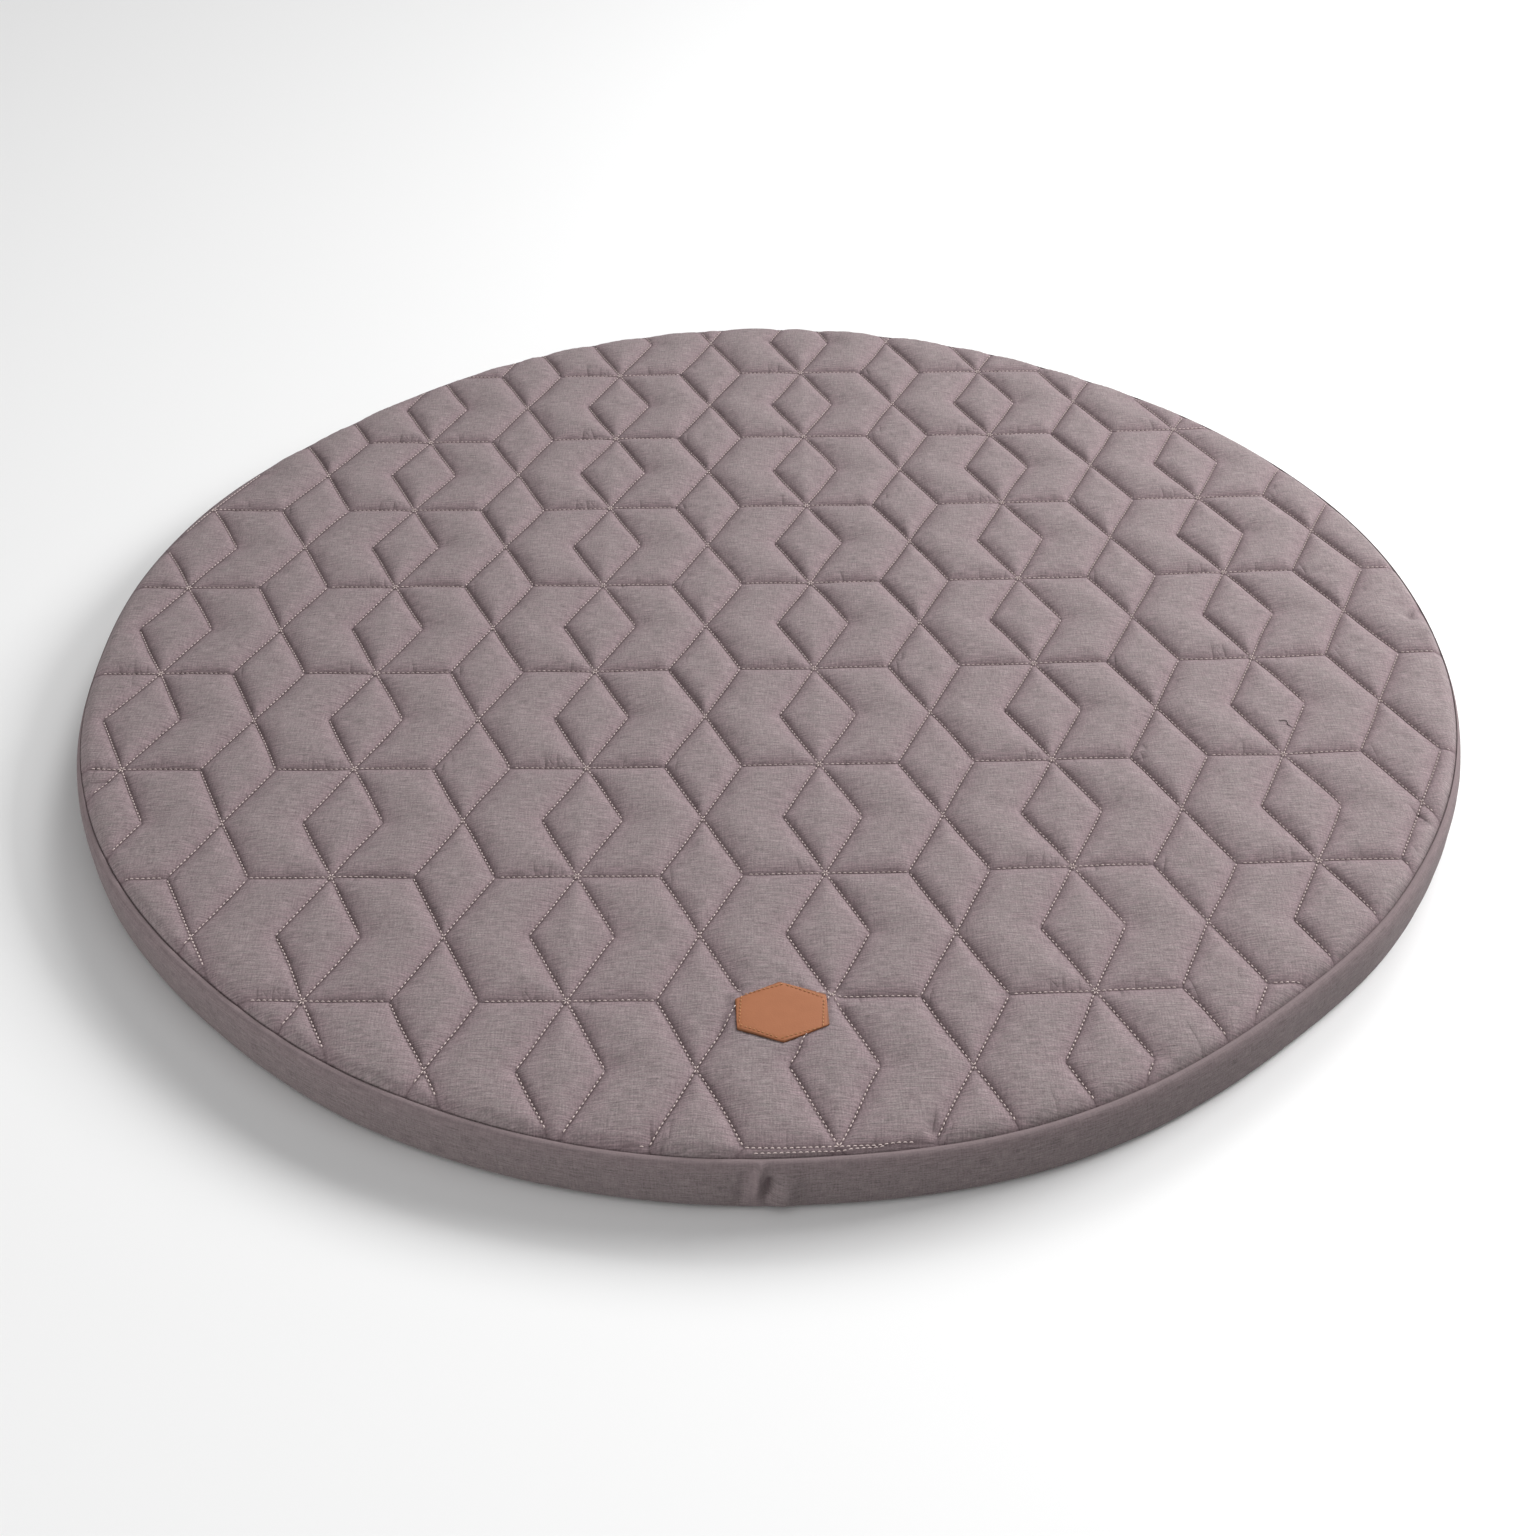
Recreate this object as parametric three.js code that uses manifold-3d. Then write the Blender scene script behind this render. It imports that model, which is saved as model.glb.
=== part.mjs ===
// Round quilted baby play mat: a filled pad with sewn channels, a side band,
// a base panel and a leather label.
// Millimetres, +Z up. The origin is the middle of the underside, on the floor. The label is towards -Y.
import * as THREE from 'three';
import { mergeVertices } from 'three/addons/utils/BufferGeometryUtils.js';
import Module from 'manifold-3d';

const wasm = await Module();
wasm.setup();

// Overall sizes
const SEAM_RADIUS = 469.5;          // the seam that joins the quilted top to the band
const SEAM_HEIGHT = 37.3;           // that seam above the floor
const CLOTH = 2.0;                  // the band's cloth with its turned-in edges
const BASE_CLOTH = 2.2;             // the base panel
const GAP = 0.3;                    // between neighbouring pieces
const PAD_FLOOR = BASE_CLOTH + GAP;
const ROUND_STEPS = 108;            // facets round the mat
const SAME_POINT = 0.0001;

// Crown of the top
const RIM_RISE = 2.5;               // how far the sewn lines climb just inside the seam
const CROWN = 1.5;                  // the further rise to the middle

// Quilting: rhombi and chevrons on a stretched triangular grid
const REPEAT_X = 152.8;             // from one star of sewn lines to the next along a row
const REPEAT_Y = 106.3;             // from one row of stars to the next
const STAR_X = 34.7;                // a star of the front row
const STAR_Y = -351.8;
const TURN = THREE.MathUtils.degToRad(0.2);
const BOW = 6.6;                    // the rows bend away from the front towards the sides
const BOW_HALF_WIDTH = 384;
const BOW_LEVEL = 0.33;
const PUFF = 5.0;                   // height of the filling between the sewn lines
const PUFF_UNEVEN = 0.14;           // some cells hold more filling than others
const UNEVEN_X = 47;
const UNEVEN_Y = 61;
const PUFF_STEPS = [
  { from_line: 6.5, share: 0.64 },
  { from_line: 14.5, share: 0.96 },
];
const SLAB_MARGIN = 110;            // the quilted slab before it is cut round
const SLAB_FLOOR = -10;
const TRIM_TOP = 60;                // above everything that is cut

// Leather label, a stretched hexagon with a point up and a point down
const LABEL_X = 6.0;
const LABEL_Y = -368.8;
const LABEL_TURN = THREE.MathUtils.degToRad(-3);
const LABEL_HALF_WIDTH = 26.2;
const LABEL_HALF_HEIGHT = 23.7;
const LABEL_HALF_SIDE = 12.6;
const LEATHER = 1.8;
const BED_HEIGHT = 44.3;            // the quilting is pressed flat to this height under the label
const BED_RADIUS = 30.5;
const BED_STEPS = 24;
const BED_SLOPE = 2.2;              // how far out the bed's edge runs for each mm up

// Outer face of the band from the top seam to the base seam
const BAND_FACE = [
  { out: 0.15, up: SEAM_HEIGHT },
  { out: 2.4, up: 38.7 },
  { out: 4.8, up: 36.2 },
  { out: 5.7, up: 28.0 },
  { out: 5.5, up: 12.0 },
  { out: 4.0, up: 4.0 },
  { out: 1.0, up: 0.9 },
  { out: -3.0, up: BASE_CLOTH - CLOTH },
];

// The top is drawn down to the seam along this curve
const RIM_CURVE = [
  { out: -GAP / 2, up: 37.7 },
  { out: -4, up: 41.2 },
  { out: -10, up: 44.0 },
  { out: -19, up: 46.2 },
  { out: -32, up: 48.0 },
];

// The outline is a little out of round: where, by how much and over what angle either side
const OUTLINE_BUMPS = [
  { at: 98, out: 7.0, reach: 28 },
  { at: 140, out: -4.5, reach: 18 },
  { at: 46, out: -4.0, reach: 36 },
  { at: 182, out: -2.0, reach: 14 },
  { at: 205, out: 1.4, reach: 13 },
  { at: 226, out: -2.0, reach: 15 },
  { at: 287, out: 2.2, reach: 15 },
  { at: 310, out: -3.2, reach: 14 },
  { at: 338, out: 1.8, reach: 22 },
];
const OUTLINE_POWER = 3;            // the middle of the mat keeps its place
const SEAM_WAVES = [
  { waves: 5, lift: 0.5, start: 0.6 },
  { waves: 9, lift: 0.4, start: 2.1 },
  { waves: 14, lift: 0.25, start: 4.0 },
];

function smooth(t) {
  const s = THREE.MathUtils.clamp(t, 0, 1);
  return s * s * (3 - 2 * s);
}

// A point of the flat grid: a steps along a row and b half-rows up
function gridPoint(a, b) {
  return new THREE.Vector2((a + b / 2) * REPEAT_X / 3, b * REPEAT_Y / 2);
}

// The cells round the star in column i of row j, each as grid steps from that star.
// Stars lie two half-rows apart, and the crosses lie halfway between them.
const CELLS = [
  { cell: 'star_rhombus', corners: [[0, 0], [0, 1], [-1, 2], [-1, 1]] },
  { cell: 'cross_rhombus', corners: [[1, 1], [1, 2], [0, 3], [0, 2]] },
  { cell: 'right_chevron', corners: [[0, 1], [0, 0], [1, 0], [1, 1], [0, 2], [-1, 2]] },
  { cell: 'left_chevron', corners: [[-1, 1], [-1, 2], [-2, 2], [-2, 1], [-1, 0], [0, 0]] },
];

// From the flat grid to the mat, with the rows' bow
function gridToMat(point) {
  const x = STAR_X + Math.cos(TURN) * point.x - Math.sin(TURN) * point.y;
  const y = STAR_Y + Math.sin(TURN) * point.x + Math.cos(TURN) * point.y;
  return new THREE.Vector2(x, y + BOW * ((x / BOW_HALF_WIDTH) ** 2 - BOW_LEVEL));
}

// A cell's outline moved inwards, square to its sides
function insetCell(corners, distance) {
  const count = corners.length;
  const normals = corners.map((corner, i) => {
    const along = corners[(i + 1) % count].clone().sub(corner).normalize();
    return new THREE.Vector2(-along.y, along.x);
  });
  return corners.map((corner, i) => {
    const before = normals[(i + count - 1) % count];
    const both = before.clone().add(normals[i]);
    return corner.clone().addScaledVector(both, distance / (1 + before.dot(normals[i])));
  });
}

function sewnHeight(mat) {
  return SEAM_HEIGHT + RIM_RISE + CROWN * (1 - (mat.length() / SEAM_RADIUS) ** 2);
}

// One cell: its sewn outline, the steps of its puff and a flat middle
function addCell(corners, places, faces) {
  const sum = corners.reduce((total, corner) => total.add(corner), new THREE.Vector2());
  const centre = gridToMat(sum.divideScalar(corners.length));
  if (centre.length() > SEAM_RADIUS + SLAB_MARGIN) return;
  const uneven = Math.sin(centre.x / UNEVEN_X) * Math.sin(centre.y / UNEVEN_Y);
  const filled = PUFF * (1 + PUFF_UNEVEN * uneven);
  const rings = [{ from_line: 0, share: 0 }, ...PUFF_STEPS].map(({ from_line, share }) => {
    const start = places.length;
    for (const point of insetCell(corners, from_line)) {
      const mat = gridToMat(point);
      places.push({ x: mat.x, y: mat.y, top: sewnHeight(mat) + filled * share });
    }
    return start;
  });
  const count = corners.length;
  for (let ring = 0; ring + 1 < rings.length; ring += 1) {
    for (let i = 0; i < count; i += 1) {
      const next = (i + 1) % count;
      const [outer, inner] = [rings[ring], rings[ring + 1]];
      faces.push([outer + i, outer + next, inner + next], [outer + i, inner + next, inner + i]);
    }
  }
  const top = rings.at(-1);
  for (let i = 1; i + 1 < count; i += 1) faces.push([top, top + i, top + i + 1]);
}

// A slab whose top is quilted: every sewn line is a row of edges
function quiltedSlab() {
  const places = [];
  const faces = [];
  const rows = Math.ceil((2 * SEAM_RADIUS + SLAB_MARGIN) / REPEAT_Y);
  for (let j = -rows; j <= rows; j += 1) {
    for (let i = -rows; i <= rows; i += 1) {
      for (const { corners } of CELLS) {
        addCell(corners.map(([a, b]) => gridPoint(3 * i - j + a, 2 * j + b)), places, faces);
      }
    }
  }
  return closedSlab(places, faces);
}

// Top faces, the same faces turned over below, and a wall along the open edge
function closedSlab(places, faces) {
  const sheet = new THREE.BufferGeometry();
  const heights = places.flatMap((place) => [place.x, place.y, place.top]);
  sheet.setAttribute('position', new THREE.Float32BufferAttribute(heights, 3));
  sheet.setIndex(faces.flat());
  const top = mergeVertices(sheet, SAME_POINT);
  const count = top.attributes.position.count;
  const position = [...top.attributes.position.array];
  for (let i = 0; i < count; i += 1) position.push(position[3 * i], position[3 * i + 1], SLAB_FLOOR);
  const index = [];
  const edges = new Map();
  const corner = top.index.array;
  for (let i = 0; i < corner.length; i += 3) {
    const [p, q, r] = [corner[i], corner[i + 1], corner[i + 2]];
    index.push(p, q, r, p + count, r + count, q + count);
    for (const [from, to] of [[p, q], [q, r], [r, p]]) {
      if (edges.has(`${to},${from}`)) edges.delete(`${to},${from}`);
      else edges.set(`${from},${to}`, [from, to]);
    }
  }
  for (const [from, to] of edges.values()) {
    index.push(from, from + count, to, to, from + count, to + count);
  }
  const geometry = new THREE.BufferGeometry();
  geometry.setAttribute('position', new THREE.Float32BufferAttribute(position, 3));
  geometry.setIndex(index);
  return geometry;
}

// Points of the band's face moved inwards, square to the face
function faceMovedIn(distance) {
  return BAND_FACE.slice(1, -1).map((point, i) => {
    const before = BAND_FACE[i];
    const after = BAND_FACE[i + 2];
    const along = new THREE.Vector2(after.out - before.out, after.up - before.up).normalize();
    return { out: point.out + along.y * distance, up: point.up - along.x * distance };
  });
}

function turned(profile) {
  const points = profile.map(({ out, up }) => new THREE.Vector2(Math.max(0, SEAM_RADIUS + out), up));
  return new THREE.LatheGeometry(points, ROUND_STEPS).rotateX(Math.PI / 2);
}

const CENTRE = -SEAM_RADIUS;

// The round the filled pad is cut to: necked at the seam, full below it
function padRound() {
  const neck = -GAP / 2;
  const side = faceMovedIn(CLOTH + GAP);
  return turned([
    { out: CENTRE, up: PAD_FLOOR },
    { out: BAND_FACE.at(-1).out, up: PAD_FLOOR },
    ...side.reverse(),
    { out: neck, up: SEAM_HEIGHT - CLOTH - GAP },
    ...RIM_CURVE,
    { out: CENTRE, up: TRIM_TOP },
  ]);
}

// What the label presses away, widening upwards
function labelBed() {
  const height = TRIM_TOP - BED_HEIGHT;
  const cutter = new THREE.CylinderGeometry(BED_RADIUS + BED_SLOPE * height, BED_RADIUS, height, BED_STEPS);
  return cutter.rotateX(Math.PI / 2).translate(LABEL_X, LABEL_Y, BED_HEIGHT + height / 2);
}

function bandRing() {
  const edge = { out: BAND_FACE[0].out, up: SEAM_HEIGHT - CLOTH };
  const hem = { out: BAND_FACE.at(-1).out, up: BASE_CLOTH };
  const inner = faceMovedIn(CLOTH);
  return turned([...BAND_FACE.slice().reverse(), edge, ...inner, hem, BAND_FACE.at(-1)]);
}

function baseDisc() {
  const radius = SEAM_RADIUS + BAND_FACE.at(-1).out - GAP;
  const disc = new THREE.CylinderGeometry(radius, radius, BASE_CLOTH, ROUND_STEPS);
  return disc.rotateX(Math.PI / 2).translate(0, 0, BASE_CLOTH / 2);
}

function labelPatch() {
  const corners = [
    [0, LABEL_HALF_HEIGHT], [-LABEL_HALF_WIDTH, LABEL_HALF_SIDE], [-LABEL_HALF_WIDTH, -LABEL_HALF_SIDE],
    [0, -LABEL_HALF_HEIGHT], [LABEL_HALF_WIDTH, -LABEL_HALF_SIDE], [LABEL_HALF_WIDTH, LABEL_HALF_SIDE],
  ];
  const outline = new THREE.Shape(corners.map(([x, y]) => new THREE.Vector2(x, y)));
  const patch = new THREE.ExtrudeGeometry(outline, { depth: LEATHER, bevelEnabled: false });
  return patch.rotateZ(LABEL_TURN).translate(LABEL_X, LABEL_Y, BED_HEIGHT + GAP);
}

function toSolid(geometry) {
  geometry.deleteAttribute('normal');
  geometry.deleteAttribute('uv');
  const merged = mergeVertices(geometry, SAME_POINT);
  return new wasm.Manifold(new wasm.Mesh({
    numProp: 3,
    vertProperties: new Float32Array(merged.attributes.position.array),
    triVerts: new Uint32Array(merged.index.array),
  }));
}

function fromSolid(solid) {
  const mesh = solid.getMesh();
  const geometry = new THREE.BufferGeometry();
  geometry.setAttribute('position', new THREE.BufferAttribute(new Float32Array(mesh.vertProperties), 3));
  geometry.setIndex(new THREE.BufferAttribute(new Uint32Array(mesh.triVerts), 1));
  return geometry;
}

// Every piece gets the same out-of-round outline and the same wandering seam height
function outlineBump(angle) {
  let bump = 0;
  for (const { at, out, reach } of OUTLINE_BUMPS) {
    const away = Math.abs(THREE.MathUtils.euclideanModulo(angle - at + 180, 360) - 180);
    bump += out * smooth(1 - away / reach);
  }
  return bump;
}

function settled(geometry) {
  const position = geometry.attributes.position;
  for (let i = 0; i < position.count; i += 1) {
    const x = position.getX(i);
    const y = position.getY(i);
    const z = position.getZ(i);
    const radius = Math.hypot(x, y);
    const angle = Math.atan2(y, x);
    const share = (radius / SEAM_RADIUS) ** OUTLINE_POWER;
    const stretch = radius > 0 ? 1 + share * outlineBump(THREE.MathUtils.radToDeg(angle)) / radius : 1;
    let lift = 0;
    for (const wave of SEAM_WAVES) lift += wave.lift * Math.sin(wave.waves * angle + wave.start);
    const above = Math.max(0, z - PAD_FLOOR) / SEAM_HEIGHT;
    position.setXYZ(i, x * stretch, y * stretch, z + lift * share * above);
  }
  return geometry;
}

function piece(name, geometry, colour, roughness) {
  const shape = settled(geometry);
  shape.computeVertexNormals();
  const material = new THREE.MeshStandardMaterial({ color: colour, roughness, metalness: 0 });
  const mesh = new THREE.Mesh(shape, material);
  mesh.name = name;
  return mesh;
}

const pad = toSolid(quiltedSlab()).intersect(toSolid(padRound())).subtract(toSolid(labelBed()));

const playMat = new THREE.Group();
playMat.add(piece('quilted_pad', fromSolid(pad), '#94868a', 0.95));
playMat.add(piece('side_band', bandRing(), '#85787b', 0.95));
playMat.add(piece('base_panel', baseDisc(), '#7d7174', 0.95));
playMat.add(piece('leather_label', labelPatch(), '#b8734a', 0.6));

export default playMat;
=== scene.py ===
import math

import bpy
import numpy as np
from mathutils import Matrix, Vector, noise
from mathutils.bvhtree import BVHTree


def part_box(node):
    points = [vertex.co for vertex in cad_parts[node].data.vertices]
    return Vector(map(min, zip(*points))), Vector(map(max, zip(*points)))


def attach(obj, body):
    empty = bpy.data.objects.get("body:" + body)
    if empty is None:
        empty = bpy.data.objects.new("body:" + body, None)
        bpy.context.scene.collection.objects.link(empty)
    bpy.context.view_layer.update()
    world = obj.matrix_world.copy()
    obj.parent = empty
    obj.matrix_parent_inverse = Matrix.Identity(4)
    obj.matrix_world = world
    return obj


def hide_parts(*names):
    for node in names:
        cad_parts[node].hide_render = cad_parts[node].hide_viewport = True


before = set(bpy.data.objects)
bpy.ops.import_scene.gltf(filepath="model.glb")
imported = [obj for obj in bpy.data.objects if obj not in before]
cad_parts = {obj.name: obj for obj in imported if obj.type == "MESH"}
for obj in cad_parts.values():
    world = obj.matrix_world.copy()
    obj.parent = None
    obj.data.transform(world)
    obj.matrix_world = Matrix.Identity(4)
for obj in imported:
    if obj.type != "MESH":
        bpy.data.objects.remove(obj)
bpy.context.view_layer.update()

MM = 0.001

# Sizes of the whole mat
SEAM_RADIUS = 469.5 * MM
SEAM_HEIGHT = 37.3 * MM
CLOTH = 2.0 * MM
GAP = 0.3 * MM
RIM_RISE = 2.5 * MM
CROWN = 1.5 * MM
PAD_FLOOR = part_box("quilted_pad")[0].z
BASE_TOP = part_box("base_panel")[1].z
BASE_RADIUS = 466.0 * MM
BASE_RINGS = 60
BASE_SPOKES = 180
BASE_ROUNDING = 0.5 * MM

# Quilting
REPEAT_X = 152.8 * MM
REPEAT_Y = 106.3 * MM
STAR_X = 34.7 * MM
STAR_Y = -351.8 * MM
TURN = math.radians(0.2)
BOW = 6.6 * MM
BOW_HALF_WIDTH = 384 * MM
BOW_LEVEL = 0.33
GRID_STEPS = 9             # of the simulated cloth, halved again afterwards
PUFF = 4.0 * MM
PUFF_REACH = 4.0 * MM
PUFF_CROWN = 0.3
PUFF_UNEVEN = 0.14
UNEVEN_X = 47 * MM
UNEVEN_Y = 61 * MM
STAR_FLAT = 0.5
STAR_HALF = 9 * MM
CROSS_FLAT = 0.35
CROSS_HALF = 7 * MM
CORNER_DIP = 0.55
CORNER_HALF = 7.5 * MM
CORNER_SHIFT = 4.0 * MM
RIM_FLAT = 0.25            # puffs lie lower along the seam, and lower still at the back
BACK_FLAT = 0.45
BACK_FLAT_BY = 250 * MM
FLAT_REACH = 24 * MM
FRONT_SOFT = 0.14          # and all of them towards the front
FRONT_SOFT_BY = 350 * MM

# Lumps and pinches near the seam
LUMP_FADE = 5 * MM
LUMPS = [
    {"x": 462 * MM, "y": -3 * MM, "up": 2.8 * MM, "half": 9 * MM},
    {"x": 459 * MM, "y": 16 * MM, "up": -3.2 * MM, "half": 5 * MM},
    {"x": 428 * MM, "y": -178 * MM, "up": 1.4 * MM, "half": 14 * MM},
    {"x": 412 * MM, "y": -206 * MM, "up": -2.0 * MM, "half": 6 * MM},
    {"x": 87 * MM, "y": -452 * MM, "up": -2.6 * MM, "half": 5 * MM},
    {"x": -68 * MM, "y": -457 * MM, "up": -2.2 * MM, "half": 5 * MM},
    {"x": -438 * MM, "y": -148 * MM, "up": -2.2 * MM, "half": 6 * MM},
    {"x": -443 * MM, "y": -130 * MM, "up": 1.6 * MM, "half": 7 * MM},
]

# Small folds in the top beside the sewn lines: the seed places them a little unevenly
FOLD_SEED = 11
FOLD_SHIFT = 3 * MM
FOLD_TURN = 30             # degrees
FOLD_WIDTH = 3.5 * MM
FOLD_SOFT = 1.4 * MM
FOLD_SINK = 0.45 * MM
STAR_FOLDS = [
    {"right": -10 * MM, "up": 4.5 * MM, "half": 4.0 * MM, "share": 0.7},
    {"right": -18 * MM, "up": 5.0 * MM, "half": 5.0 * MM, "share": 0.9},
    {"right": -27 * MM, "up": 4.5 * MM, "half": 4.5 * MM, "share": 0.6},
    {"right": 15 * MM, "up": -4.0 * MM, "half": 4.0 * MM, "share": 0.5},
    {"right": 24 * MM, "up": 4.0 * MM, "half": 3.5 * MM, "share": 0.3},
]
ROW_END_FOLDS = [
    {"right": 6.5 * MM, "up": -1.0 * MM, "half": 6.5 * MM, "share": 0.85},
    {"right": 11.0 * MM, "up": 7.0 * MM, "half": 5.0 * MM, "share": 0.25},
]
RIM_FOLDS = [
    {"x": 460 * MM, "y": 20 * MM, "turn": 65, "half": 9 * MM, "depth": 1.4},
    {"x": 86 * MM, "y": -449 * MM, "turn": 78, "half": 9 * MM, "depth": 1.6},
    {"x": -66 * MM, "y": -455 * MM, "turn": 95, "half": 8 * MM, "depth": 1.3},
    {"x": 54 * MM, "y": -459 * MM, "turn": 86, "half": 6 * MM, "depth": 0.8},
    {"x": -436 * MM, "y": -147 * MM, "turn": 5, "half": 9 * MM, "depth": 1.5},
    {"x": -441 * MM, "y": -137 * MM, "turn": 95, "half": 7 * MM, "depth": 1.0},
    {"x": 153 * MM, "y": -436 * MM, "turn": 100, "half": 9 * MM, "depth": 0.7},
    {"x": 238 * MM, "y": -392 * MM, "turn": 108, "half": 11 * MM, "depth": 0.7},
    {"x": 272 * MM, "y": -343 * MM, "turn": 80, "half": 5 * MM, "depth": 0.9},
    {"x": -430 * MM, "y": 70 * MM, "turn": 80, "half": 6 * MM, "depth": 0.9},
    {"x": -441 * MM, "y": -40 * MM, "turn": 100, "half": 6 * MM, "depth": 0.9},
    {"x": 411 * MM, "y": -198 * MM, "turn": 120, "half": 9 * MM, "depth": 1.2},
]

# Simulated puffs
SIM_GATHER = 0.004
SIM_PRESSURE = 4
SIM_FRAMES = 16
SIM_MOST = 3 * MM
SIM_BESIDE_LABEL = 3 * MM
MOVE_BESIDE_LABEL = 1.5 * MM

# The pad's hidden side and underside
PAD_SIDE = [
    {"out": -0.2 * MM, "up": 35.0 * MM},
    {"out": 2.6 * MM, "up": 33.8 * MM},
    {"out": 3.0 * MM, "up": 22.0 * MM},
    {"out": 2.4 * MM, "up": 8.0 * MM},
    {"out": -0.6 * MM, "up": 3.4 * MM},
    {"out": -6.0 * MM, "up": PAD_FLOOR},
]

# Quilting stitches
STITCH_PITCH = 3.4 * MM
STITCH_LENGTH = 2.35 * MM
STITCH_WIDTH = 0.78 * MM
STITCH_LIFT = 0.7 * MM
LOOSE_LENGTH = 6.0 * MM
LOOSE_WIDTH = 0.5 * MM
LOOSE_LIFT = 0.3 * MM
LOOSE_ENDS = [
    {"x": 345.0 * MM, "y": -104.0 * MM, "turn": 10},
    {"x": 349.5 * MM, "y": -108.0 * MM, "turn": -25},
    {"x": 348.0 * MM, "y": -106.0 * MM, "turn": -78},
]
SEAM_CLEARANCE = 3.0 * MM
FRONT_BUMP = 1.0 * MM
TACK_ROW = {"from_x": -11.0 * MM, "to_x": 62.5 * MM, "inside": 2.9 * MM, "step": 1.5 * MM}
TACK_SINK = 1.2 * MM
TACK_REACH = 4.0 * MM
TACK_SUNK = {"from_x": -22 * MM, "to_x": 68 * MM, "fade": 12 * MM}

# Leather label, from its solid
LABEL_LOW, LABEL_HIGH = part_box("leather_label")
LABEL_X = (LABEL_LOW.x + LABEL_HIGH.x) / 2
LABEL_Y = (LABEL_LOW.y + LABEL_HIGH.y) / 2
LABEL_TURN = math.radians(-3)
LABEL_HALF_WIDTH = 26.2 * MM
LABEL_HALF_HEIGHT = 23.7 * MM
LABEL_HALF_SIDE = 12.6 * MM
LEATHER = 1.8 * MM
LABEL_EDGE = 0.5 * MM
LABEL_BORDER = 2.2 * MM
LABEL_CUP = 0.35 * MM
LABEL_STITCH = {"pitch": 2.7 * MM, "length": 2.0 * MM, "width": 0.55 * MM, "lift": 0.12 * MM}
BED_HEIGHT = 44.0 * MM
BED_MARGIN = 0.5 * MM
BED_SLOPE = 8 * MM
BED_LIP = 0.9 * MM
BED_LIP_AT = 2.2 * MM
BED_LIP_HALF = 2.4 * MM

# Outer face of the band from the top seam to the base seam
BAND_FACE = [
    {"out": 0.15 * MM, "up": SEAM_HEIGHT},
    {"out": 1.2 * MM, "up": 37.9 * MM},
    {"out": 2.8 * MM, "up": 37.9 * MM},
    {"out": 4.6 * MM, "up": 36.7 * MM},
    {"out": 6.0 * MM, "up": 33.4 * MM},
    {"out": 6.6 * MM, "up": 28.0 * MM},
    {"out": 6.5 * MM, "up": 19.0 * MM},
    {"out": 6.0 * MM, "up": 11.0 * MM},
    {"out": 4.8 * MM, "up": 4.4 * MM},
    {"out": 2.4 * MM, "up": 1.3 * MM},
    {"out": -3.0 * MM, "up": 0.2 * MM},
]
BAND_COLUMNS = 720
BAND_STEPS = 3
BAND_ROLLS = {"out": 1.3 * MM, "size": 70 * MM}
BAND_PULLS = {"out": 0.35 * MM, "size": 16 * MM}

# Join of the band: ridges and dimples along it from the seam, positive outwards
JOIN_ANGLE = math.radians(-91.2)
JOIN_REACH = 32 * MM
JOIN_STEP = 0.8 * MM
JOIN_LEAN = 6 * MM
JOIN_FADE_TOP = 5 * MM
JOIN_FADE_LOW = 9 * MM
JOIN_SEWN_AT = 3.5 * MM     # it shades the cloth less than the seam does
JOIN_FOLDS = [
    {"at": -7.0 * MM, "out": -1.4 * MM, "half": 3.5 * MM, "top": 6 * MM, "low": 40 * MM},
    {"at": 0.5 * MM, "out": 2.2 * MM, "half": 2.0 * MM, "top": 0 * MM, "low": 30 * MM},
    {"at": 6.5 * MM, "out": -3.8 * MM, "half": 2.8 * MM, "top": 11 * MM, "low": 36 * MM},
    {"at": 17.0 * MM, "out": 3.0 * MM, "half": 6.5 * MM, "top": 8 * MM, "low": 42 * MM},
]

# The edge of the top rounds down into the seam
SEAM_DIP = 0.9 * MM        # at the right, and a third of it at the left
SEAM_DIP_FROM_X = -50 * MM
SEAM_DIP_OVER = 200 * MM
RIM_REACH = 2.8 * MM
RIM_ROLL = 6.0 * MM

# The outline is a little out of round: where, by how much and over what angle either side
OUTLINE_BUMPS = [
    {"at": 98, "out": 7.0 * MM, "reach": 28},
    {"at": 140, "out": -4.5 * MM, "reach": 18},
    {"at": 46, "out": -4.0 * MM, "reach": 36},
    {"at": 182, "out": -2.0 * MM, "reach": 14},
    {"at": 205, "out": 1.4 * MM, "reach": 13},
    {"at": 226, "out": -2.0 * MM, "reach": 15},
    {"at": 287, "out": 2.2 * MM, "reach": 15},
    {"at": 310, "out": -3.2 * MM, "reach": 14},
    {"at": 338, "out": 1.8 * MM, "reach": 22},
]
OUTLINE_POWER = 3
SEAM_WAVES = [
    {"waves": 5, "lift": 0.5 * MM, "start": 0.6},
    {"waves": 9, "lift": 0.4 * MM, "start": 2.1},
    {"waves": 14, "lift": 0.25 * MM, "start": 4.0},
]

# Round the back the top is drawn further out over the band
SEAM_OUT = 5.0 * MM
SEAM_OUT_FROM = 56         # degrees from the middle of the front
SEAM_OUT_OVER = 30
SEAM_OUT_POWER = 24
SEAM_OUT_HEIGHT = 25 * MM
BAND_OUT = 6.6 * MM
BAND_SHARE = 0.12          # of that at the band's outer face
BAND_FALL = 0.4
BAND_FALL_OVER = 2.5 * MM

# The sewn lines wander a little, but not at the rim or at the label
WANDER = 1.3 * MM
WANDER_SIZE = 45 * MM
WANDER_FROM_RIM = 30 * MM
WANDER_FROM_LABEL = {"from": 2 * MM, "over": 20 * MM}

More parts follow.
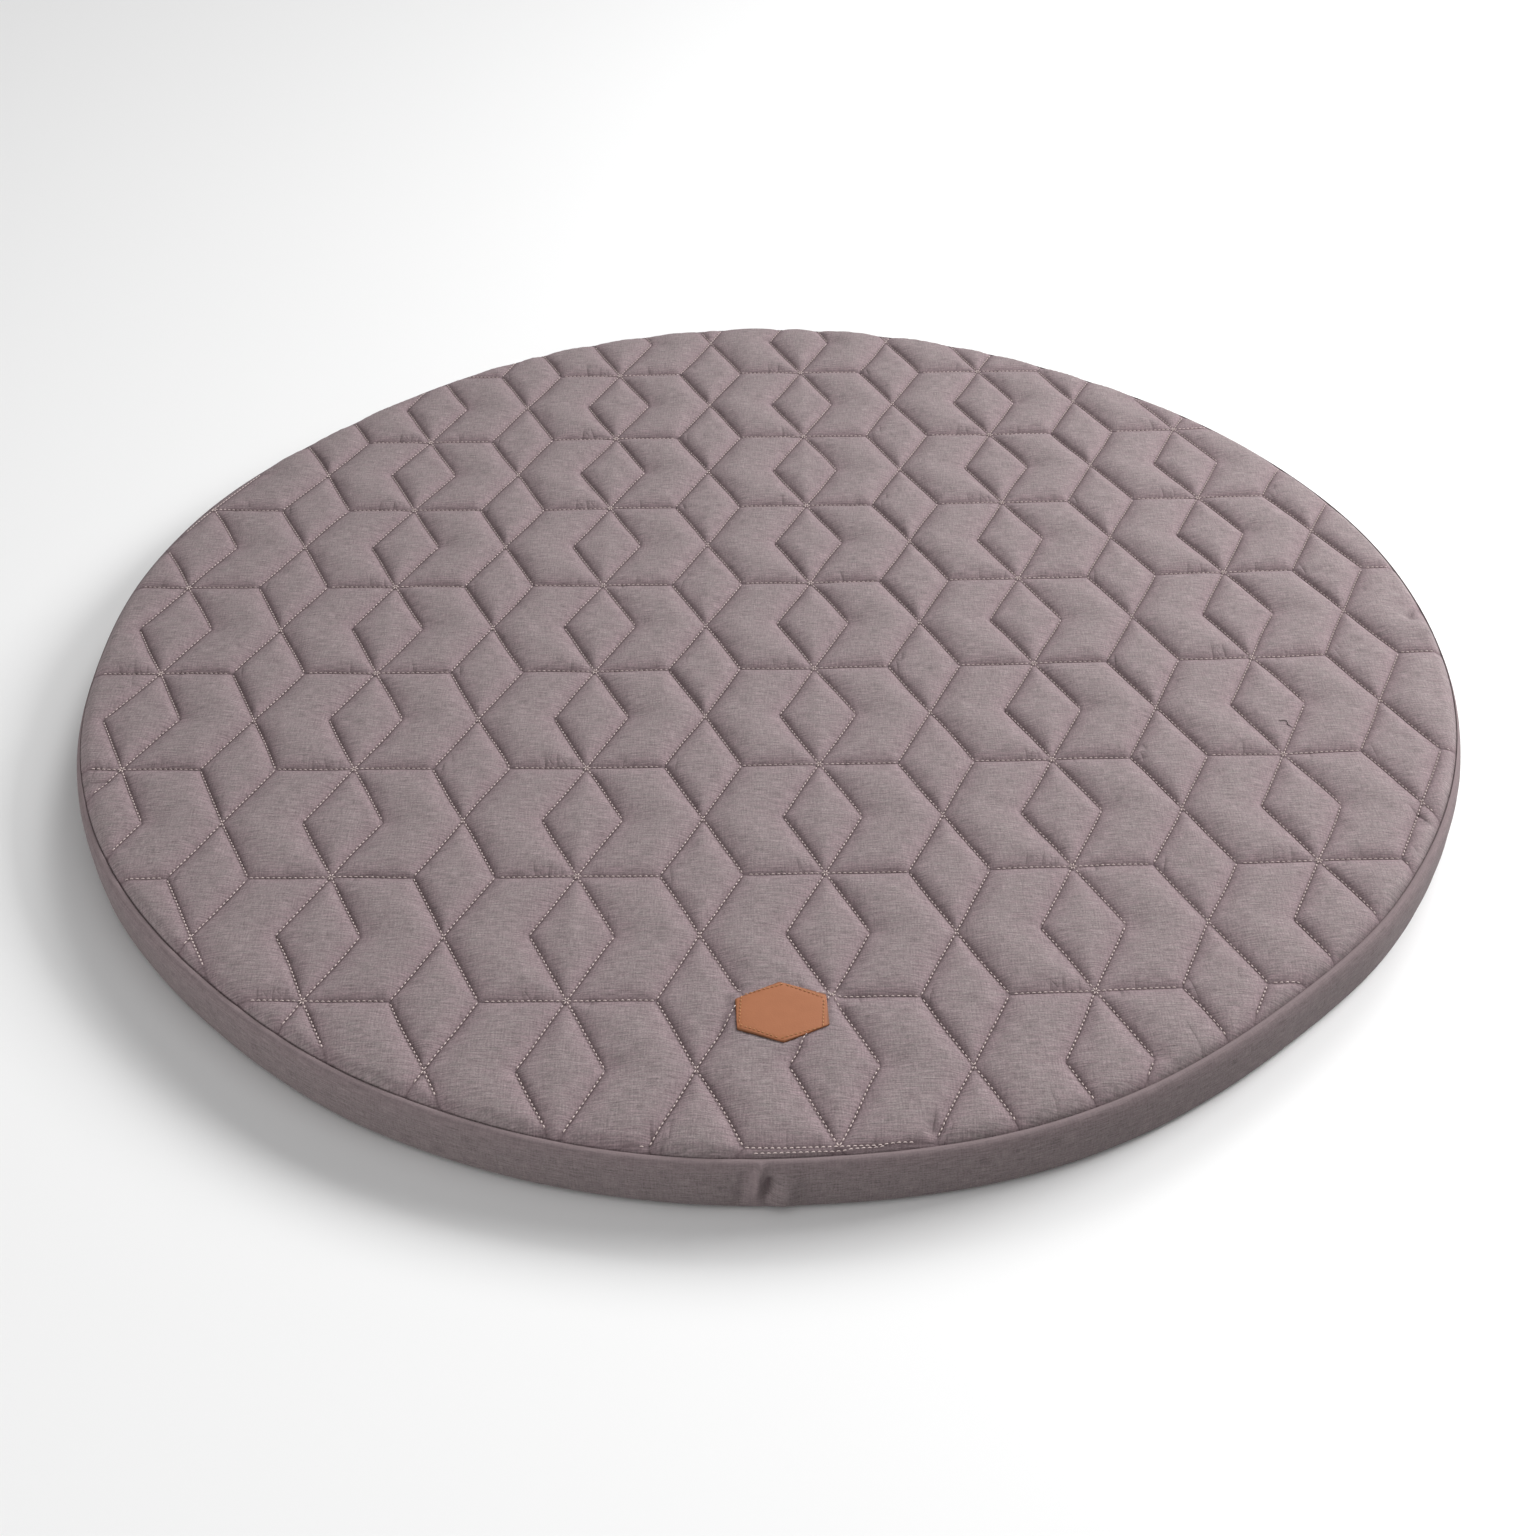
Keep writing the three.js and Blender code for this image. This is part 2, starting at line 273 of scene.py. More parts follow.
# The last row of the quilting is drawn towards the front seam
FRONT_PULL = 4.8 * MM
FRONT_PULL_X = 24 * MM
FRONT_PULL_HALF = 60 * MM
FRONT_PULL_FULL = 10 * MM
FRONT_PULL_FADE = 40 * MM


def smooth(t):
    s = np.clip(t, 0, 1)
    return s * s * (3 - 2 * s)


def settled(points):
    """The same out-of-round outline and wandering seam height as the solids."""
    x, y, z = points.T
    angle = np.arctan2(y, x)
    radius = np.hypot(x, y)
    from_front = np.abs((np.degrees(angle) + 270) % 360 - 180)
    drawn = SEAM_OUT * smooth((from_front - SEAM_OUT_FROM) / SEAM_OUT_OVER) * smooth(z / SEAM_OUT_HEIGHT)
    within = np.minimum(radius / SEAM_RADIUS, 1) ** SEAM_OUT_POWER
    beyond = 1 - (1 - BAND_SHARE) * np.clip((radius - SEAM_RADIUS) / BAND_OUT, 0, 1)
    z = z - BAND_FALL * drawn * smooth((radius - SEAM_RADIUS) / BAND_FALL_OVER)
    outer = 1 + drawn * within * beyond / np.maximum(radius, MM)
    x, y, radius = x * outer, y * outer, radius * outer
    bump = np.zeros_like(x)
    for row in OUTLINE_BUMPS:
        away = np.abs((np.degrees(angle) - row["at"] + 180) % 360 - 180)
        bump += row["out"] * smooth(1 - away / row["reach"])
    share = (radius / SEAM_RADIUS) ** OUTLINE_POWER
    stretch = 1 + share * bump / np.maximum(radius, MM)
    lift = sum(row["lift"] * np.sin(row["waves"] * angle + row["start"]) for row in SEAM_WAVES)
    above = np.maximum(0, z - PAD_FLOOR) / SEAM_HEIGHT
    return np.c_[x * stretch, y * stretch, z + lift * share * above]


def noise_at(points, size, seed):
    """Smooth noise from -1 to 1 with features of that size."""
    shift = Vector((seed, seed * 1.7, seed * 0.6))
    return np.array([noise.noise(Vector(p) / size + shift) for p in points])


def wandering(points):
    """Sewn lines are never quite straight, and the last row is drawn towards the front seam."""
    x, y = points[:, 0], points[:, 1]
    inside = SEAM_RADIUS - np.hypot(x, y)
    free = smooth(inside / WANDER_FROM_RIM) * WANDER
    apart = smooth((label_distance(x, y) - WANDER_FROM_LABEL["from"]) / WANDER_FROM_LABEL["over"])
    moved = points.copy()
    moved[:, 0] += free * apart * noise_at(points * (1, 1, 0), WANDER_SIZE, 2.0)
    moved[:, 1] += free * apart * noise_at(points * (1, 1, 0), WANDER_SIZE, 7.0)
    leaving = 1 - smooth((inside - FRONT_PULL_FULL - 1 * MM) / FRONT_PULL_FADE)
    near = smooth(inside / FRONT_PULL_FULL) * leaving * (y < 0)
    moved[:, 1] -= FRONT_PULL * near * apart * np.exp(-((x - FRONT_PULL_X) / FRONT_PULL_HALF) ** 4)
    return moved


def make_piece(name, points, faces, flat=None):
    """A smooth-shaded mesh object, with the flat cloth's places as its UV map, in metres."""
    mesh = bpy.data.meshes.new(name)
    mesh.from_pydata(points.tolist(), [], faces if isinstance(faces, list) else faces.tolist())
    mesh.polygons.foreach_set("use_smooth", [True] * len(mesh.polygons))
    if flat is not None:
        corners = np.zeros(len(mesh.loops), np.int32)
        mesh.loops.foreach_get("vertex_index", corners)
        layer = mesh.uv_layers.new(name="cloth")
        layer.data.foreach_set("uv", flat[corners].astype(np.float32).ravel())
    mesh.validate()
    mesh.update()
    piece = bpy.data.objects.new(name, mesh)
    bpy.context.scene.collection.objects.link(piece)
    return piece


def set_attribute(piece, name, values):
    layer = piece.data.attributes.new(name, "FLOAT", "POINT")
    layer.data.foreach_set("value", values.astype(np.float32))


# Quilting grid

def grid_to_mat(a, b):
    u = (a + b / 2) * REPEAT_X / 3
    v = b * REPEAT_Y / 2
    x = STAR_X + math.cos(TURN) * u - math.sin(TURN) * v
    y = STAR_Y + math.sin(TURN) * u + math.cos(TURN) * v
    return x, y + BOW * ((x / BOW_HALF_WIDTH) ** 2 - BOW_LEVEL)


def place_kind(a, b):
    """Which corner of the quilting a grid point is: stars in even half-rows, crosses in odd ones."""
    names = {(0, 0): "star", (0, 1): "row_end", (0, 2): "row_start",
             (1, 0): "rhombus_right", (1, 1): "cross", (1, 2): "rhombus_left"}
    return names[b % 2, (a + b // 2) % 3]


def places_of(kind):
    """Every corner of that kind on the mat."""
    rows = math.ceil(2 * SEAM_RADIUS / (REPEAT_Y / 2)) + 2
    return np.array([grid_to_mat(a, b) for b in range(-4, rows) for a in range(-2 * rows, 2 * rows)
                     if place_kind(a, b) == kind and math.hypot(*grid_to_mat(a, b)) < SEAM_RADIUS])


def sewn_lines():
    """Every sewn line as a grid point and a grid step. Stars have six lines and crosses four."""
    reach = SEAM_RADIUS + REPEAT_X / 3
    rows = math.ceil(2 * reach / (REPEAT_Y / 2)) + 2
    lines = []
    for b in range(-rows, rows + 1):
        for a in range(-2 * rows, 2 * rows + 1):
            kind = place_kind(a, b)
            if kind not in ("star", "cross"):
                continue
            steps = [(0, 1), (-1, 1), (0, -1), (1, -1)]
            if kind == "star":
                steps += [(1, 0), (-1, 0)]
            for step in steps:
                ends = [grid_to_mat(a, b), grid_to_mat(a + step[0], b + step[1])]
                if min(math.hypot(*end) for end in ends) < reach:
                    lines.append((a, b, *step))
    return lines


def distance_to_lines(x, y, lines):
    start = np.array([grid_to_mat(a, b) for a, b, _, _ in lines])
    end = np.array([grid_to_mat(a + da, b + db) for a, b, da, db in lines])
    along = end - start
    square = (along ** 2).sum(1)
    nearest = np.empty(len(x))
    batch = 2000
    for k in range(0, len(x), batch):
        off = np.c_[x[k:k + batch], y[k:k + batch]][:, None] - start[None]
        t = np.clip((off * along).sum(2) / square, 0, 1)
        nearest[k:k + batch] = np.sqrt(((off - t[..., None] * along) ** 2).sum(2).min(1))
    return nearest


def label_distance(x, y):
    """How far a point lies outside the label's outline, negative inside it."""
    c, s = math.cos(-LABEL_TURN), math.sin(-LABEL_TURN)
    u = np.abs(c * (x - LABEL_X) - s * (y - LABEL_Y))
    v = np.abs(s * (x - LABEL_X) + c * (y - LABEL_Y))
    slope = np.array([LABEL_HALF_HEIGHT - LABEL_HALF_SIDE, LABEL_HALF_WIDTH])
    slope = slope / np.linalg.norm(slope)
    tip = slope[1] * LABEL_HALF_HEIGHT
    return np.maximum(u - LABEL_HALF_WIDTH, slope[0] * u + slope[1] * v - tip)


def spots(x, y, centres, half, shift=0.0):
    """Soft round spots, 1 at each centre moved right by the shift."""
    total = np.zeros(len(x))
    for centre_x, centre_y in centres:
        total += np.exp(-((x - centre_x - shift) ** 2 + (y - centre_y) ** 2) / half ** 2)
    return total


def top_heights(x, y, near):
    """Height of the quilted top before it settles: sewn lines, puffs, rim and the label's bed."""
    radius = np.hypot(x, y)
    inside = np.maximum(0, SEAM_RADIUS - radius)
    sewn = SEAM_HEIGHT + RIM_RISE + CROWN * (1 - (radius / SEAM_RADIUS) ** 2)
    dip = SEAM_DIP * (1 + 2 * smooth((x - SEAM_DIP_FROM_X) / SEAM_DIP_OVER)) / 3
    sewn -= (RIM_RISE + dip) * (1 - smooth(inside / RIM_ROLL))
    filled = 1 + PUFF_UNEVEN * np.sin(x / UNEVEN_X) * np.sin(y / UNEVEN_Y)
    rise = 1 - np.exp(-near / PUFF_REACH) + PUFF_CROWN * smooth(near / (REPEAT_X / 6))
    rise *= 1 - STAR_FLAT * spots(x, y, places_of("star"), STAR_HALF)
    rise *= 1 - CROSS_FLAT * spots(x, y, places_of("cross"), CROSS_HALF)
    rise *= 1 - CORNER_DIP * spots(x, y, places_of("rhombus_right"), CORNER_HALF, CORNER_SHIFT)
    rise *= 1 - CORNER_DIP * spots(x, y, places_of("row_start"), CORNER_HALF, -CORNER_SHIFT)
    flat = RIM_FLAT + (BACK_FLAT - RIM_FLAT) * smooth(y / BACK_FLAT_BY)
    flat = flat * (1 - smooth(inside / FLAT_REACH))
    puff = PUFF * (1 - FRONT_SOFT * smooth(-y / FRONT_SOFT_BY))
    top = sewn + puff * filled * rise * (1 - np.exp(-inside / RIM_REACH)) * (1 - flat)
    outside = label_distance(x, y)
    tacked = smooth((x - TACK_SUNK["from_x"]) / TACK_SUNK["fade"]) * (y < 0)
    tacked = tacked * smooth((TACK_SUNK["to_x"] - x) / TACK_SUNK["fade"])
    top -= TACK_SINK * tacked * np.exp(-((inside - TACK_REACH) / TACK_REACH) ** 2)
    for row in LUMPS:
        top += row["up"] * spots(x, y, [(row["x"], row["y"])], row["half"]) * smooth(inside / LUMP_FADE)
    pressed = 1 - smooth((outside - BED_MARGIN) / BED_SLOPE)
    nestled = BED_LIP * np.exp(-((outside - BED_LIP_AT) / BED_LIP_HALF) ** 2) * (outside > 0)
    return top + (BED_HEIGHT - top) * pressed + nestled


def quilted_grid(lines, steps):
    """The round top on the sewn grid. Every sewn line runs along edges of the grid."""
    # Points of the grid this near the seam are moved onto it
    snap = 0.52 * math.hypot(REPEAT_X / 6, REPEAT_Y / 2) / steps
    rows = math.ceil(2 * SEAM_RADIUS / (REPEAT_Y / 2)) * steps
    low = -4 * steps
    i, j = np.meshgrid(np.arange(-2 * rows, 2 * rows), np.arange(low, rows), indexing="ij")
    x, y = grid_to_mat(i / steps, j / steps)
    radius = np.hypot(x, y)
    kept = radius <= SEAM_RADIUS + snap
    at_rim = kept & (np.abs(radius - SEAM_RADIUS) <= snap)
    to_rim = np.where(at_rim, SEAM_RADIUS / np.maximum(radius, MM), 1)
    number = np.full(i.shape, -1)
    number[kept] = np.arange(kept.sum())
    corner = [number[:-1, :-1], number[1:, :-1], number[1:, 1:], number[:-1, 1:]]
    faces = np.concatenate([np.stack([corner[p], corner[q], corner[r]], -1).reshape(-1, 3)
                            for p, q, r in ((0, 1, 3), (1, 2, 3))])
    faces = faces[faces.min(1) >= 0]
    rim = at_rim[kept]
    faces = faces[~rim[faces].all(1)]
    used = np.zeros(len(rim), bool)
    used[faces.ravel()] = True
    # Each sewn line as the points that it runs through
    sewn = np.zeros(i.shape, bool)
    routes = []
    for a, b, da, db in lines:
        t = np.arange(steps + 1)
        p, q = a * steps + da * t + 2 * rows, b * steps + db * t - low
        fits = (p >= 0) & (p < i.shape[0]) & (q >= 0) & (q < i.shape[1])
        p, q = p[fits], q[fits]
        good = kept[p, q]
        sewn[p[good], q[good]] = True
        routes.append(number[p[good], q[good]])
    x, y = (x * to_rim)[kept], (y * to_rim)[kept]
    near = np.where(sewn[kept], 0, distance_to_lines(x, y, lines))
    return {"top": np.c_[x, y, top_heights(x, y, near)], "near": near, "faces": faces, "kept": kept,
            "sewn": sewn[kept], "rim": rim, "used": used, "routes": routes}


def edge_loop(faces):
    """The open edge of a sheet of faces, as vertex numbers in order."""
    edges = np.concatenate([faces[:, [0, 1]], faces[:, [1, 2]], faces[:, [2, 0]]])
    there = {(int(p), int(q)) for p, q in edges}
    after = {p: q for p, q in there if (q, p) not in there}
    loop = [next(iter(sorted(after)))]
    while after[loop[-1]] != loop[0]:
        loop.append(after[loop[-1]])
    return loop


def puff_up(piece, held):
    """Air under the cloth: the puffs fill out and gather a little between their sewn lines."""
    before = np.zeros(len(piece.data.vertices) * 3, np.float32)
    piece.data.vertices.foreach_get("co", before)
    pins = piece.vertex_groups.new(name="sewn")
    pins.add([int(v) for v in np.nonzero(held)[0]], 1.0, "REPLACE")
    cloth = piece.modifiers.new("puffs", "CLOTH")
    cloth.settings.vertex_group_mass = "sewn"
    cloth.settings.quality = 5
    cloth.settings.mass = 0.15
    cloth.settings.tension_stiffness = 15
    cloth.settings.compression_stiffness = 15
    cloth.settings.shear_stiffness = 8
    cloth.settings.bending_stiffness = 4
    cloth.settings.shrink_min = -SIM_GATHER
    cloth.settings.use_pressure = True
    cloth.settings.uniform_pressure_force = SIM_PRESSURE
    cloth.settings.effector_weights.gravity = 0
    cloth.collision_settings.use_collision = False
    cloth.point_cache.frame_start = 1
    cloth.point_cache.frame_end = SIM_FRAMES
    for number in range(1, SIM_FRAMES + 1):
        bpy.context.scene.frame_set(number)
    bpy.ops.object.select_all(action="DESELECT")
    piece.select_set(True)
    bpy.context.view_layer.objects.active = piece
    bpy.ops.object.modifier_apply(modifier=cloth.name)
    after = np.zeros_like(before)
    piece.data.vertices.foreach_get("co", after)
    moved = (after - before).reshape(-1, 3)
    length = np.linalg.norm(moved, axis=1, keepdims=True)
    bpy.context.scene.frame_set(1)
    return moved * np.minimum(1, SIM_MOST / np.maximum(length, SIM_MOST))


def halved(moved, kept):
    """What each point moved by, on a grid of half the steps, smoothed once."""
    whole = np.zeros((*kept.shape, 3))
    whole[kept] = moved
    fine = np.zeros((2 * kept.shape[0], 2 * kept.shape[1], 3))
    next_i, next_j = np.roll(whole, -1, 0), np.roll(whole, -1, 1)
    fine[::2, ::2] = whole
    fine[1::2, ::2] = (whole + next_i) / 2
    fine[::2, 1::2] = (whole + next_j) / 2
    fine[1::2, 1::2] = (next_i + next_j) / 2
    beside = ((1, 0), (-1, 0), (0, 1), (0, -1), (1, -1), (-1, 1))
    around = sum(np.roll(fine, step, (0, 1)) for step in beside)
    return (fine + around / 6) / 2


def crease(piece, routes):
    """The sewn lines stay sharp where the rest of the top is smooth."""
    pairs = np.concatenate([np.c_[route[:-1], route[1:]] for route in routes if len(route) > 1])
    pairs.sort(axis=1)
    edges = np.zeros(len(piece.data.edges) * 2, np.int32)
    piece.data.edges.foreach_get("vertices", edges)
    edges = np.sort(edges.reshape(-1, 2), axis=1)
    size = len(piece.data.vertices)
    sharp = np.isin(edges[:, 0].astype(np.int64) * size + edges[:, 1], pairs[:, 0] * size + pairs[:, 1])
    layer = piece.data.attributes.new("sharp_edge", "BOOLEAN", "EDGE")
    layer.data.foreach_set("value", sharp)


def quilted_pad(lines):
    coarse = quilted_grid(lines, GRID_STEPS)
    fine = quilted_grid(lines, 2 * GRID_STEPS)
    top, faces = fine["top"], fine["faces"]
    x, y = top[:, 0].copy(), top[:, 1].copy()
    sheet = make_piece("top_cloth", coarse["top"], coarse["faces"])
    outside = label_distance(coarse["top"][:, 0], coarse["top"][:, 1])
    held = coarse["sewn"] | coarse["rim"] | (outside < SIM_BESIDE_LABEL) | ~coarse["used"]
    moved = halved(puff_up(sheet, held), coarse["kept"])[fine["kept"]]
    bpy.data.objects.remove(sheet)
    free = ~fine["sewn"] & ~fine["rim"] & (label_distance(x, y) > MOVE_BESIDE_LABEL)
    top = top + moved * free[:, None]
    across, depth = measure_folds(x, y)
    top[:, 2] -= FOLD_SINK * depth
    loop = np.array(edge_loop(faces))
    direction = np.c_[x, y][loop] / np.hypot(x, y)[loop][:, None]
    rings = [top]
    count = len(top)
    walls = []
    before = loop
    for row in PAD_SIDE:
        rings.append(np.c_[direction * (SEAM_RADIUS + row["out"]), np.full(len(loop), row["up"])])
        now = np.arange(count, count + len(loop))
        count += len(loop)
        walls.append(np.c_[before, now, np.roll(now, -1)])
        walls.append(np.c_[before, np.roll(now, -1), np.roll(before, -1)])
        before = now
    rings.append(np.array([[0, 0, PAD_SIDE[-1]["up"]]]))
    walls.append(np.c_[before, np.full(len(loop), count), np.roll(before, -1)])
    points = settled(wandering(np.concatenate(rings)))
    under = np.zeros(len(points) - len(top))
    flat = np.concatenate([np.c_[x, y], points[len(top):, :2]])
    faces = np.concatenate([faces] + walls)
    pad = make_piece("quilted_mat_pad", points, faces, flat)
    crease(pad, fine["routes"])
    set_attribute(pad, "from_sewing", np.concatenate([fine["near"], under]))
    set_attribute(pad, "fold_across", np.concatenate([across, under + 1]))
    set_attribute(pad, "fold_depth", np.concatenate([depth, under]))
    clear = np.hypot(x, y) < SEAM_RADIUS - SEAM_CLEARANCE
    paths = [route[clear[route]] for route in fine["routes"]]
    return pad, [points[path] for path in paths if len(path) > 1], BVHTree.FromPolygons(points, faces)


def small_folds():
    """Rows of x, y, direction, half length and depth."""
    rng = np.random.default_rng(FOLD_SEED)
    rows = [(row["x"], row["y"], math.radians(row["turn"]), row["half"], row["depth"])
            for row in RIM_FOLDS]
    for kind, folds in (("star", STAR_FOLDS), ("row_end", ROW_END_FOLDS)):
        for x, y in places_of(kind):
            for fold in folds:
                there, turn, size, depth, shift = rng.random(5)
                if there < fold["share"]:
                    rows.append((x + fold["right"] + (shift - 0.5) * FOLD_SHIFT, y + fold["up"],
                                 math.radians(90 + FOLD_TURN * (turn - 0.5)),
                                 fold["half"] * (0.7 + 0.6 * size), 0.5 + 0.6 * depth))
    return rows


def measure_folds(x, y):
    """For each point, how far it lies across its nearest small fold, and how deep the fold is there."""
    across, depth = np.full(len(x), 1.0), np.zeros(len(x))
    for fold_x, fold_y, turn, half, deep in small_folds():
        u = (x - fold_x) * math.cos(turn) + (y - fold_y) * math.sin(turn)
        v = (y - fold_y) * math.cos(turn) - (x - fold_x) * math.sin(turn)
        here = deep * np.exp(-(u / half) ** 4 - (v / FOLD_WIDTH) ** 2)
        across = np.where(here > depth, v, across)
        depth = np.maximum(depth, here)
    return across, depth


# Threads

STITCH_SECTION = [(-1.0, 0.0), (0.0, 1.0), (1.0, 0.0), (0.0, -1.0)]
STITCH_PLACES = [0, 0.2, 0.5, 0.8, 1]
STITCH_ARCH = [-0.25, 0.55, 1.0, 0.55, -0.25]


def stitches(name, paths, pitch, length, width, lift):
    """Rows of single stitches, arched out of the cloth between their two holes."""
    points, faces = [], []
    for path in paths:
        step = np.linalg.norm(np.diff(path, axis=0), axis=1)
        reach = np.concatenate([[0], np.cumsum(step)])
        for n in range(int(reach[-1] / pitch)):
            start = (n + 0.5) * pitch - length / 2
            place = [start + share * length for share in STITCH_PLACES]
            line = np.array([[np.interp(s, reach, path[:, k]) for k in range(3)] for s in place])
            line[:, 2] += np.array(STITCH_ARCH) * width / 2 + lift
            forward = line[-1] - line[0]
            across = np.array([-forward[1], forward[0], 0])
            across /= np.linalg.norm(across)
            up = np.array([0, 0, 1.0])
            first = len(points)
            points.append(line[0])
            for k in (1, 2, 3):
                for side, high in STITCH_SECTION:
                    points.append(line[k] + (across * side + up * high * 0.8) * width / 2)
            points.append(line[-1])
            last = first + 13
            for k in range(4):
                m = (k + 1) % 4
                faces.append((first, first + 1 + k, first + 1 + m))
                faces.append((last, last - 4 + m, last - 4 + k))
                for ring in (0, 4):
                    p, q = first + 1 + ring + k, first + 1 + ring + m
                    faces.append((p, p + 4, q + 4))
                    faces.append((p, q + 4, q))
    return make_piece(name, np.array(points), faces)


def tack_row(row, surface):
    """A path along the front seam, laid on the pad."""
    path = []
    for x in np.arange(row["from_x"], row["to_x"], row["step"]):
        y = -math.sqrt((SEAM_RADIUS + FRONT_BUMP - row["inside"]) ** 2 - x ** 2)
        path.append(surface.ray_cast(Vector((x, y, 1)), Vector((0, 0, -1)))[0])
    return np.array(path)


def loose_end(row, surface):
    """A short straight end of thread lying on the pad."""
    x, y, turn = row["x"], row["y"], math.radians(row["turn"])
    reach = LOOSE_LENGTH / 2 + 0.1 * MM
    ends = [(x - reach * math.cos(turn), y - reach * math.sin(turn)),
            (x + reach * math.cos(turn), y + reach * math.sin(turn))]
    return np.array([surface.ray_cast(Vector((*end, 1)), Vector((0, 0, -1)))[0] for end in ends])


# Side band

def rounded(rows, steps):
    """A smooth line through the rows, with that many steps between each two."""
    ends = np.array([[row["out"], row["up"]] for row in rows])
    padded = np.concatenate([[2 * ends[0] - ends[1]], ends, [2 * ends[-1] - ends[-2]]])
    line = []
    for k in range(1, len(padded) - 2):
        p0, p1, p2, p3 = padded[k - 1:k + 3]
        for t in np.arange(steps) / steps:
            line.append(0.5 * (2 * p1 + (p2 - p0) * t + (2 * p0 - 5 * p1 + 4 * p2 - p3) * t ** 2
                               + (3 * p1 - p0 - 3 * p2 + p3) * t ** 3))
    line.append(ends[-1])
    return np.array(line)


def side_band():
    face = rounded(BAND_FACE, BAND_STEPS)
    along = np.gradient(face, axis=0)
    along /= np.linalg.norm(along, axis=1)[:, None]
    inner = (face + np.c_[along[:, 1], -along[:, 0]] * CLOTH)[1:-1]
    edge = np.array([[face[0, 0], SEAM_HEIGHT - CLOTH]])
    hem = np.array([[face[-1, 0], face[-1, 1] + CLOTH]])
    section = np.concatenate([face, hem, inner[::-1], edge])
    length = np.concatenate([[0], np.cumsum(np.linalg.norm(np.diff(face, axis=0), axis=1))])
    height = np.concatenate([length, [length[-1] + CLOTH], length[1:-1][::-1], [0]])
    even = np.arange(BAND_COLUMNS) / BAND_COLUMNS * 2 * math.pi - math.pi
    away = (even - JOIN_ANGLE) * SEAM_RADIUS
    steps = np.arange(-JOIN_REACH, JOIN_REACH, JOIN_STEP) / SEAM_RADIUS + JOIN_ANGLE
    angle = np.sort(np.concatenate([even[np.abs(away) > JOIN_REACH + JOIN_STEP], steps]))
    columns = len(angle)
    count = len(section)
    radius = SEAM_RADIUS + section[:, 0]
    points = np.stack([np.outer(np.cos(angle), radius), np.outer(np.sin(angle), radius),
                       np.tile(section[:, 1], (columns, 1))], -1).reshape(-1, 3)
    flat = np.stack([np.repeat(angle * SEAM_RADIUS, count), np.tile(height, columns)], -1)
    middle = np.exp(-((flat[:, 1] - length[-1] * 0.45) / (length[-1] * 0.3)) ** 2)
    rolls = noise_at(np.c_[points[:, :2], flat[:, 1] * 0.5], BAND_ROLLS["size"], 3.0)
    pulls = noise_at(np.c_[points[:, :2], flat[:, 1] * 0.15], BAND_PULLS["size"], 9.0)
    out = middle * (BAND_ROLLS["out"] * rolls + BAND_PULLS["out"] * pulls)
    beside = flat[:, 0] - JOIN_ANGLE * SEAM_RADIUS
    for row in JOIN_FOLDS:
        there = smooth((flat[:, 1] - row["top"]) / JOIN_FADE_TOP)
        there = there * smooth((row["low"] - flat[:, 1]) / JOIN_FADE_LOW)
        leaning = row["at"] + JOIN_LEAN * (0.5 - flat[:, 1] / length[-1])
        out += there * row["out"] * np.exp(-((beside - leaning) / row["half"]) ** 2)
    direction = points[:, :2] / np.linalg.norm(points[:, :2], axis=1)[:, None]
    points[:, :2] += direction * out[:, None]
    number = np.arange(columns * count).reshape(columns, count)
    after = np.roll(number, -1, 0)
    faces = np.stack([number, np.roll(number, -1, 1), np.roll(after, -1, 1), after], -1).reshape(-1, 4)
    band = make_piece("side_band_strip", settled(points), faces[:, ::-1], flat)
    set_attribute(band, "from_sewing", np.minimum(flat[:, 1], np.abs(beside) + JOIN_SEWN_AT))
    return band


def base_panel():
    spokes = BASE_SPOKES
    radii = np.linspace(0.02, 1, BASE_RINGS) * (BASE_RADIUS - 2 * BASE_ROUNDING)
    radii = np.append(radii, BASE_RADIUS - GAP)
    angle = np.arange(spokes) / spokes * 2 * math.pi
    under = np.stack([np.outer(radii, np.cos(angle)), np.outer(radii, np.sin(angle)),
                      np.zeros((len(radii), spokes))], -1)
    under[-1, :, 2] = BASE_ROUNDING
    over = under[::-1].copy()
    over[:, :, 2] = BASE_TOP
    over[0, :, 2] = BASE_TOP - BASE_ROUNDING
    points = np.concatenate([under, over]).reshape(-1, 3)
    number = np.arange(len(points)).reshape(-1, spokes)
    low, high = number[:-1], number[1:]
    faces = np.stack([low, np.roll(low, -1, 1), np.roll(high, -1, 1), high], -1).reshape(-1, 4).tolist()
    centre = len(points)
    points = np.concatenate([points, [[0, 0, 0], [0, 0, BASE_TOP]]])
    faces += [[centre, number[0, (k + 1) % spokes], number[0, k]] for k in range(spokes)]
    faces += [[centre + 1, number[-1, k], number[-1, (k + 1) % spokes]] for k in range(spokes)]
    return make_piece("base_cloth_panel", settled(points), faces, points[:, :2])


# Leather label

